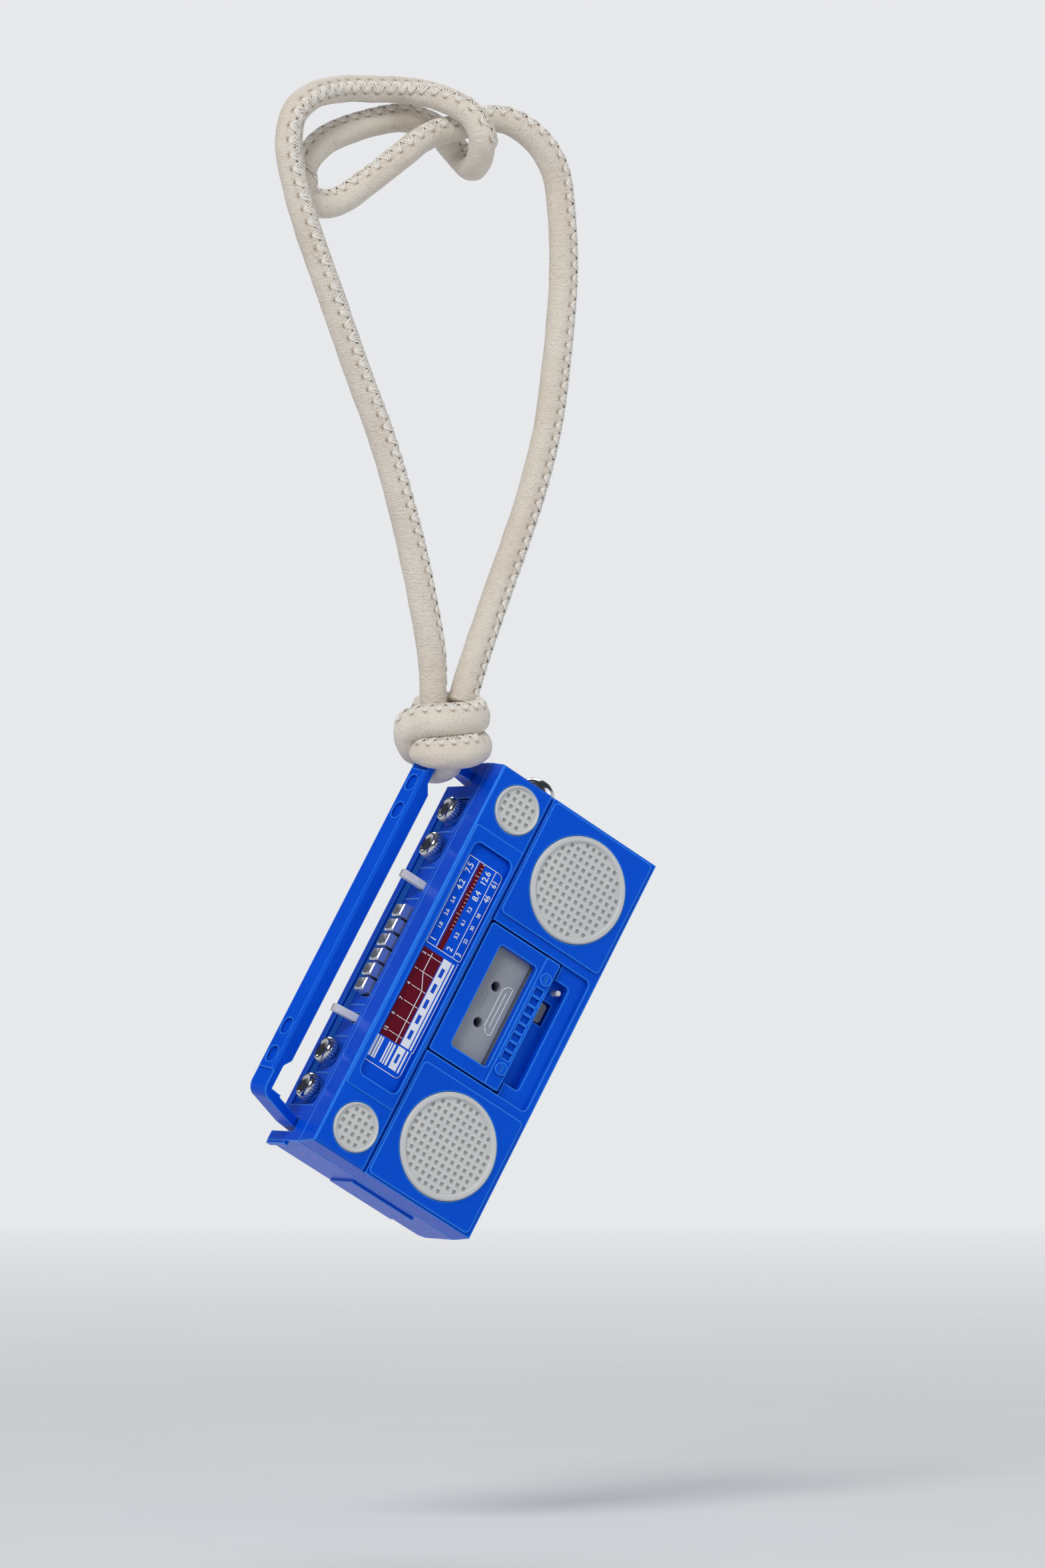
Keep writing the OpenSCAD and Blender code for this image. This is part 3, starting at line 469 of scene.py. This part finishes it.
class Cord:
    """A leather cord sewn along one side, as a tube and its stitches.

    seam and flat are (fraction, direction) keys: where the seam lies, and across which way the cord is pressed flat.
    wide and deep are its radii, sewn is the stretch that has stitches, and domed closes its ends.
    """

    def __init__(self, name, points, seam, wide=2.0, deep=2.0, flat=None, step=0.35, domed=False, sewn=(0.0, 1.0),
                 pitch=2.1, hole_at=33, thick=1.0):
        self.wide, self.deep, self.domed, self.sewn = wide, deep, domed, sewn
        self.pitch, self.hole_at, self.thick = pitch, hole_at, thick
        self.line, self.total = smooth_line(points, step)
        self.last = len(self.line) - 1
        self.frames = [self.frame(i, seam, flat) for i in range(self.last + 1)]
        self.tube = self.make_tube(name)
        self.stitches = self.make_stitches(name)

    def frame(self, i, seam, flat):
        """The cord at point i: the place, the seam's direction, the one square to it, and the flat side's normal."""
        f = i / self.last
        along = (self.line[min(i + 1, self.last)] - self.line[max(i - 1, 0)]).normalized()
        side = squared(turned_between(seam, f), along)
        normal = None if flat is None else squared(turned_between(flat, f), along)
        return self.line[i], side, along.cross(side), normal

    def radius(self, direction, normal, f):
        broad = sized(self.wide, f)
        if normal is None:
            return broad
        c = direction.dot(normal)
        return 1 / math.sqrt((c / sized(self.deep, f)) ** 2 + (1 - c * c) / broad ** 2)

    def closing(self, s):
        """How much of its radius the cord has s mm along it, where its ends are domed."""
        near = min(s, self.total - s)
        if not self.domed or near >= DOME:
            return 1.0
        return math.sqrt(max(0.05, 1 - (1 - near / DOME) ** 2))

    def make_tube(self, name):
        verts, faces, uvs, seam_shades = [], [], [], []
        for i, (p, side, across, normal) in enumerate(self.frames):
            f = i / self.last
            s = self.total * f
            close = self.closing(s)
            in_seam = 1.0 if self.sewn[0] <= f <= self.sewn[1] else 0.0
            pulls = [math.exp(-((((s / self.pitch - at + 0.5) % 1) - 0.5) / PULL_WIDE) ** 2) for at in (0.0, SLANT)]
            for k in range(SIDES):
                ang = k * math.tau / SIDES
                off = math.degrees(ang if ang < math.pi else ang - math.tau)
                direction = side * math.cos(ang) + across * math.sin(ang)
                pull = pulls[1 if off > 0 else 0]
                lip = math.exp(-((abs(off) - LIP_AT) / LIP_WIDE) ** 2)
                groove = math.exp(-(off / GROOVE_WIDE) ** 2)
                hole = math.exp(-((abs(off) - self.hole_at) / HOLE_WIDE) ** 2) * pull * in_seam
                grow = (LIP_HIGH * lip * (1 - 0.4 * pull) - GROOVE_DEEP * groove) * in_seam - HOLE_DEEP * hole
                grow += UNEVEN * noise.noise(Vector((s * 0.35, math.cos(ang) * 1.5, math.sin(ang) * 1.5)))
                verts.append(hung(p + direction * ((self.radius(direction, normal, f) + grow) * close)))
                # painted shade in the stitch holes and along the seam groove
                seam_shades.append(min(1.0, max(0.2 * groove * in_seam, 0.9 * hole)))
                uvs.append((k / SIDES * GIRTH, s))
        for i in range(self.last):
            for k in range(SIDES):
                a, b = i * SIDES + k, i * SIDES + (k + 1) % SIDES
                faces.append((a, b, b + SIDES, a + SIDES))
        faces.append(tuple(range(SIDES - 1, -1, -1)))
        faces.append(tuple(self.last * SIDES + k for k in range(SIDES)))
        tube = mesh_piece(name, verts, faces, leather, None)
        layer = tube.data.attributes.new("stain", "FLOAT", "POINT")
        layer.data.foreach_set("value", seam_shades)
        uv = tube.data.uv_layers.new(name="cord")
        for corner in tube.data.loops:
            uv.data[corner.index].uv = uvs[corner.vertex_index]
        return tube

    def over_seam(self, s, ang, lift):
        """A point of a thread, s mm along the cord and at an angle from the seam, and the way out from the cord."""
        x = min(max(s / self.total * self.last, 0), self.last - 0.001)
        i = int(x)
        here, beyond = self.frames[i], self.frames[i + 1]
        p = here[0].lerp(beyond[0], x - i)
        side, across = (here[n].lerp(beyond[n], x - i).normalized() for n in (1, 2))
        outward = side * math.cos(ang) + across * math.sin(ang)
        return p + outward * (self.radius(outward, here[3], s / self.total) + lift), outward

    def strand(self, start, end, fan, loose, raised):
        """The middle line of one strand, from a hole at `start` mm to one on the other side at `end`."""
        points = []
        for q in range(STRAND_STEPS + 1):
            t = q / STRAND_STEPS
            bow = math.sin(math.pi * t)
            ang = math.radians((self.hole_at - 5) * (2 * t - 1))
            s = start + (end - start) * t + fan * FAN * self.pitch * bow ** 0.8 + loose * bow + fan * 0.12
            points.append(self.over_seam(s, ang, -SUNK + (ARCH + 0.25 * loose) * bow ** 0.55 + raised))
        return points

    def make_stitches(self, name):
        """Whip stitches: fine threads laid slantwise over the seam, into a hole on each side."""
        verts, faces = [], []
        for j in range(int(self.total / self.pitch)):
            s = j * self.pitch
            if s < self.sewn[0] * self.total or s + self.pitch > self.sewn[1] * self.total:
                continue
            far = s + SLANT * self.pitch
            for lead, start in enumerate((s, s + self.pitch)):
                for n in range(STRANDS):
                    fan = (n - (STRANDS - 1) / 2) / STRANDS
                    loose = 0.12 * noise.noise(Vector((j * 1.7, n * 2.3, lead * 5.1 + len(name))))
                    self.add_strand(verts, faces, self.strand(start, far, fan, loose, 0.05 * lead))
        return mesh_piece(name + "_stitches", verts, faces, thread, None)

    def add_strand(self, verts, faces, points):
        base = len(verts)
        for q, (centre, outward) in enumerate(points):
            along = (points[min(q + 1, STRAND_STEPS)][0] - points[max(q - 1, 0)][0]).normalized()
            sideways = along.cross(outward).normalized()
            outward = sideways.cross(along)
            for k in range(STRAND_SIDES):
                a = k * math.tau / STRAND_SIDES
                verts.append(hung(centre + (sideways * math.cos(a) + outward * math.sin(a)) * STRAND_R * self.thick))
        for q in range(STRAND_STEPS):
            for k in range(STRAND_SIDES):
                a, b = (base + q * STRAND_SIDES + n for n in (k, (k + 1) % STRAND_SIDES))
                faces.append((a, b, b + STRAND_SIDES, a + STRAND_SIDES))


# The loop's points, in mm from the radio's middle: up from the knot, round the strap and back
ROUTE = [
    (-5.2, 8, 45.4), (-5.6, 8, 53), (-7.3, 8, 62), (-10.2, 8, 74), (-14, 8, 86), (-18.5, 8, 97),
    (-22.9, 8, 108), (-26.9, 8, 118), (-29.4, 8, 126), (-30.3, 8, 131.6), (-29, 8.5, 136.3),
    (-24.8, 10, 139.3), (-19, 12, 140.7), (-13, 12, 141), (-8, 11.5, 141), (-4, 9, 140),
    (-0.5, 5.5, 137.5), (1.4, 4.5, 134), (2.6, 7.5, 130.6), (3.4, 11.5, 129.6), (2.6, 14.5, 131.8), (-1, 15, 135.5),
    (-7, 15, 137), (-14, 15, 135.5), (-21, 14.5, 132.5), (-25, 13.5, 128),
    (-24.5, 13, 123.5), (-20, 12.5, 123), (-15, 11, 126.5), (-10, 10, 130.5), (-5, 10, 134),
    (0, 10, 135.5), (5, 9.5, 137.1), (9.3, 8.5, 136.4),
    (13.8, 8, 133.1), (16.6, 8, 128.1), (17.5, 8, 120), (17.6, 8, 112), (16.6, 8, 101),
    (15, 8, 90), (12.3, 8, 80), (9, 8, 71), (5, 8, 61), (1.9, 8, 53), (-0.5, 8, 46)]
LOOP_SEAM = [
    (0.0, (0.97, 0.25, 0)), (0.04, (0.9, -0.4, 0)), (0.11, (0.5, -0.86, 0)), (0.2, (0.25, -0.97, 0)),
    (0.3, (0.0, -1, 0)), (0.36, (-0.1, -1, 0.1)), (0.45, (0.1, -0.6, 1)), (0.5, (0.8, -0.2, 0.6)),
    (0.55, (0.3, 0.1, 1)), (0.62, (0.1, -0.5, 1)), (0.68, (0.1, -0.8, 0.7)), (0.73, (0.2, -0.5, 1)),
    (0.78, (0.75, -0.6, 0.4)), (0.84, (0.7, -0.72, 0)), (0.93, (0.72, -0.7, 0)), (1.0, (0.86, -0.5, 0))]
loop = Cord("loop_cord", ROUTE, LOOP_SEAM, 2.08)

# ---------------------------------------------------------------- the knot
KNOT = Vector((-3.7, 7.8, 40.7))
VIEW_R = Vector((right.x, right.y, 0)).normalized()
VIEW_F = Vector((-look.x, -look.y, 0)).normalized()


def knot_at(u, w, z):
    """A point of the knot: u to the right of the hanging charm as it is seen, w towards the front, z up, in mm."""
    return KNOT + VIEW_R * u + VIEW_F * w + Vector((0, 0, z))


def ring_path(keys):
    """Points round the knot from (angle, radius, height) keys; angle 0 is the right, 90 the front."""
    return [knot_at(*polar(a, r), z) for a, r, z in keys]


def radial_keys(keys, lift):
    """Directions out of the knot at the same keys, raised by `lift`."""
    count = len(keys) - 1
    directions = [knot_at(*polar(a), lift) - KNOT for a, _, _ in keys]
    return [(i / count, direction) for i, direction in enumerate(directions)]


UPPER = [
    (-165, 2.2, 2.8), (-145, 3.6, 3.5), (-120, 4.3, 4.2), (-90, 4.7, 4.5), (-60, 5.0, 4.4), (-30, 5.2, 3.9),
    (0, 5.3, 3.2), (30, 5.1, 2.75), (60, 4.9, 2.5), (90, 4.9, 2.35), (115, 5.1, 2.25), (134, 5.5, 1.95),
    (146, 5.9, 1.5), (155, 5.95, 0.7), (166, 5.45, -0.75), (182, 4.7, -1.95), (207, 3.95, -2.7)]
LOWER = [
    (195, 1.0, -2.3), (178, 2.4, -2.2), (155, 3.5, -2.2), (133, 4.4, -2.35), (112, 4.9, -2.6), (90, 5.2, -2.7),
    (60, 5.4, -2.5), (30, 5.5, -2.0), (0, 5.5, -1.3), (-30, 5.2, -0.8), (-60, 4.9, -0.9), (-90, 4.8, -1.4),
    (-120, 4.6, -1.8), (-150, 4.2, -2.0), (-175, 3.4, -2.0)]
BELOW = [
    (-4.0, 4.8, 37.8), (-4.0, 4.6, 36.8), (-4.0, 5.9, 35.6), (-4.0, 8, 35.0), (-4.0, 10.5, 35.0), (-4.0, 12.0, 35.9),
    (-4.0, 11.4, 37.5)]
upper = Cord(
    "knot_upper", ring_path(UPPER), radial_keys(UPPER, 2.6),
    wide=[(0, 2.55), (0.8, 2.55), (0.9, 2.1), (1, 1.8)], deep=[(0, 2.1), (0.85, 2.1), (1, 1.8)],
    flat=radial_keys(UPPER, 0), step=0.25, domed=True, sewn=(0.0, 0.88), pitch=1.75, hole_at=28, thick=0.8)
lower = Cord(
    "knot_lower", ring_path(LOWER), radial_keys(LOWER, 2.0),
    wide=[(0, 1.7), (0.12, 2.0), (0.3, 2.45), (0.4, 2.5), (1, 2.5)],
    deep=[(0, 1.9), (0.2, 2.05), (0.35, 2.2), (1, 2.2)],
    flat=radial_keys(LOWER, 0), step=0.25, domed=True, sewn=(0.08, 0.47), pitch=1.6, hole_at=28, thick=0.8)
turn = Cord(
    "knot_turn", BELOW, [(0, (1, 0, 0)), (1, (1, 0, 0))], wide=1.85, deep=1.35,
    flat=[(0, (0, -1, 0)), (0.25, (0, -0.7, -0.7)), (0.5, (0, 0, -1)), (0.75, (0, 0.7, -0.7)), (1, (0, 1, 0))],
    step=0.3)

# A ball of leather fills the knot
bm = bmesh.new()
bmesh.ops.create_uvsphere(bm, u_segments=24, v_segments=12, radius=1)
for v in bm.verts:
    v.co = hung(KNOT + Vector((v.co.x * 4.4, v.co.y * 4.4, v.co.z * 4.2 + 0.2)))
core_mesh = bpy.data.meshes.new("knot_core")
bm.to_mesh(core_mesh)
bm.free()
core_mesh.polygons.foreach_set("use_smooth", [True] * len(core_mesh.polygons))
core_mesh.materials.append(leather)
core = bpy.data.objects.new("knot_core", core_mesh)
scene.collection.objects.link(core)

knot_pieces = [upper.tube, upper.stitches, lower.tube, lower.stitches, turn.tube, turn.stitches, core]
for item in [loop.tube, loop.stitches] + knot_pieces:
    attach(item, "hanger")
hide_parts("leather_loop")
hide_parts("leather_knot")

# ---------------------------------------------------------------- printed marks
PLATE_Y = 0.65                                           # the dial plate's face
TAPE_Y = 1.83                                            # the cassette's face
INK = 0.02                                               # thickness of a layer of ink
CAP_SIZE = 1.38                                          # font size of numbers 1 mm high
NARROW, HEAVY = 0.92, 0.02                               # how much the numbers are narrowed and thickened


class Print:
    """Thin printed marks on a flat face at depth y, gathered into one piece."""

    def __init__(self, y, shift=(0.0, 0.0), lift=0.0):
        self.y, self.shift = y - lift, shift
        self.verts, self.faces = [], []

    def poly(self, outline):
        base, n = len(self.verts), len(outline)
        for depth in (INK, 0.0):
            for x, z in outline:
                self.verts.append(radio(x + self.shift[0], self.y - depth, z + self.shift[1]))
        self.faces.append(tuple(base + k for k in range(n)))
        self.faces.append(tuple(base + 2 * n - 1 - k for k in range(n)))
        for k in range(n):
            a, b = base + k, base + (k + 1) % n
            self.faces.append((b, a, a + n, b + n))

    def bar(self, x0, x1, z0, z1):
        self.poly([(x0, z0), (x1, z0), (x1, z1), (x0, z1)])

    def line(self, points, width):
        for (ax, az), (bx, bz) in zip(points, points[1:]):
            length = math.hypot(bx - ax, bz - az)
            ux, uz = (bx - ax) / length * width / 2, (bz - az) / length * width / 2
            ax, az, bx, bz = ax - ux, az - uz, bx + ux, bz + uz
            self.poly([(ax - uz, az + ux), (ax + uz, az - ux), (bx + uz, bz - ux), (bx - uz, bz + ux)])

    def number(self, body, x, z, height):
        """A number centred on x, z."""
        font = bpy.data.curves.new("number", "FONT")
        font.body = body
        font.size = height * CAP_SIZE
        font.align_x = "CENTER"
        font.align_y = "CENTER"
        font.resolution_u = 3
        font.extrude = INK / 2
        font.offset = HEAVY
        item = bpy.data.objects.new("number", font)
        scene.collection.objects.link(item)
        bpy.context.view_layer.update()
        mesh = bpy.data.meshes.new_from_object(item.evaluated_get(bpy.context.evaluated_depsgraph_get()))
        base = len(self.verts)
        for v in mesh.vertices:
            self.verts.append(radio(
                x + v.co.x * NARROW + self.shift[0], self.y - INK / 2 - v.co.z, z + v.co.y + self.shift[1]))
        self.faces += [tuple(base + i for i in poly.vertices) for poly in mesh.polygons]
        bpy.data.objects.remove(item)
        bpy.data.curves.remove(font)
        bpy.data.meshes.remove(mesh)

    def piece(self, name, material, body, slot):
        return mesh_piece(name, self.verts, self.faces, material, body, smooth=False)


def arc(cx, cz, r, a0, a1, n=6):
    """Points of an arc round (cx, cz), from angle a0 to a1."""
    steps = (polar(a0 + (a1 - a0) * k / n, r) for k in range(n + 1))
    return [(cx + x, cz + z) for x, z in steps]


DIAL_SHIFT = (0.18, -0.31)
red = Print(PLATE_Y, DIAL_SHIFT)
white = Print(PLATE_Y, DIAL_SHIFT, INK)
over = Print(PLATE_Y, DIAL_SHIFT, 2 * INK)
THIN, THINNER, THINNEST, CURVE, TAPE_LINE = 0.11, 0.09, 0.07, 0.12, 0.13

# The level field on the left
red.bar(-13.5, 1.85, 10.0, 13.85)
white.line([(-18.15, 14.2)] + arc(-17.4, 8.25, 0.75, 180, 270) + [(-13.4, 7.5)], THIN)
white.line([(-13.4, 7.3), (2.3, 7.3)], THIN)
for z0, z1 in ((13.7, 14.1), (13.15, 13.52), (12.75, 13.02), (11.45, 11.72), (11.0, 11.26), (10.45, 10.78)):
    white.bar(-17.35, -13.75, z0, z1)
white.bar(-17.35, -13.6, 8.6, 10.0)
white.bar(-17.35, -13.6, 8.0, 8.32)
white.bar(-13.3, 1.85, 8.3, 9.85)
white.bar(-13.3, 1.85, 7.75, 8.08)
for x in (-12.35, -9.7, -7.05, -4.4, -1.75, 1.0):
    white.line([(x, 10.05), (x, 12.7)], THINNER)
white.line([(-13.4, 10.75), (-4.4, 10.75), (-1.75, 12.0), (1.5, 12.0)], CURVE)
for x, body in ((-12.35, "12"), (-9.7, "9"), (-7.05, "7"), (-4.4, "4"), (-1.75, "1"), (0.95, "2")):
    white.number(body, x, 13.3, 0.62)
over.bar(-16.25, -14.7, 9.05, 9.55)
for x0, x1 in ((-11.9, -10.4), (-9.2, -7.7), (-6.5, -5.0), (-3.8, -2.25), (-1.1, 0.4)):
    over.bar(x0, x1, 8.8, 9.42)

# The dial on the right
red.bar(2.75, 17.8, 10.72, 11.72)
white.line([(2.65, 13.9), (17.95, 13.9)] + arc(17.15, 8.0, 0.8, 0, -90) + [(2.65, 7.2), (2.65, 13.9)], THIN)
white.line([(2.65, 12.0), (17.9, 12.0)], THIN)
white.line([(2.65, 8.62), (17.9, 8.62)], THIN)
for k in range(18):
    x = 6.4 + 0.665 * k
    tall = k in (4, 9, 14)
    white.line([(x, 10.85), (x, 11.45 if tall else 11.15)], THINNEST)
ROWS = (                                                 # height on the plate, size, numbers
    (13.0, 1.08, ((3.6, "1"), (13.2, "4.2"), (16.2, "7.5"))),
    (9.7, 1.08, ((3.6, "2"), (13.0, "8.4"), (16.1, "12.6"))),
    (7.9, 0.95, ((3.6, "3"), (13.5, "46"), (16.1, "61"))),
    (13.0, 0.66, ((6.0, "1.8"), (8.3, "2.6"), (10.5, "3.4"))),
    (9.7, 0.66, ((6.0, "5.2"), (8.3, "6.1"), (10.5, "7.3"))),
    (7.9, 0.62, ((6.0, "22"), (8.3, "30"), (10.5, "38"))))
for z, height, row in ROWS:
    for x, body in row:
        white.number(body, x, z, height)
red.piece("dial_red", ink_red, "cabinet", "dial_print")
white.piece("dial_white", ink_white, "cabinet", "dial_print")
over.piece("dial_blue_marks", ink_blue, "cabinet", "dial_print")

# The plain outlined bar on the cassette
mark = Print(TAPE_Y)
mark.line([(-4.0, -3.9), (4.2, -3.9), (4.2, -3.1), (3.4, -2.3), (-3.2, -2.3), (-4.0, -3.1), (-4.0, -3.9)], TAPE_LINE)
mark.line([(-2.8, -3.1), (3.0, -3.1)], TAPE_LINE)
mark.piece("cassette_mark", ink_white, "door", "cassette_plastic")

# ---------------------------------------------------------------- floor, in metres
FLOOR_DROP = 0.045
FLOOR_RADIUS = 9
FADE_FROM, FADE_TO = 0.35, 1.3                           # where the floor fades into the backdrop
m = Material("floor")
at = m.coord()
away = m("VectorMath", {"operation": "LENGTH"}, i0=at).outputs["Value"]
grey = m.mix(m.noise(at, 30, 4), (0.70, 0.71, 0.72), (0.74, 0.75, 0.76))
m.finish(m(
    "MixShader", i0=m.math("MULTIPLY", m.range(away, FADE_FROM, FADE_TO, 0, 1), m.seen()),
    i1=m("BsdfPrincipled", Base_Color=grey, Roughness=0.8).outputs[0],
    i2=m("Emission", Color=BACK, Strength=1.0).outputs[0]).outputs[0])
bm = bmesh.new()
bmesh.ops.create_circle(bm, cap_ends=True, segments=96, radius=FLOOR_RADIUS)
floor_mesh = bpy.data.meshes.new("floor")
bm.to_mesh(floor_mesh)
bm.free()
floor_mesh.materials.append(m.material)
floor = bpy.data.objects.new("floor", floor_mesh)
floor.location = (RADIO.x, RADIO.y, cad_box[0][2] - FLOOR_DROP)
scene.collection.objects.link(floor)
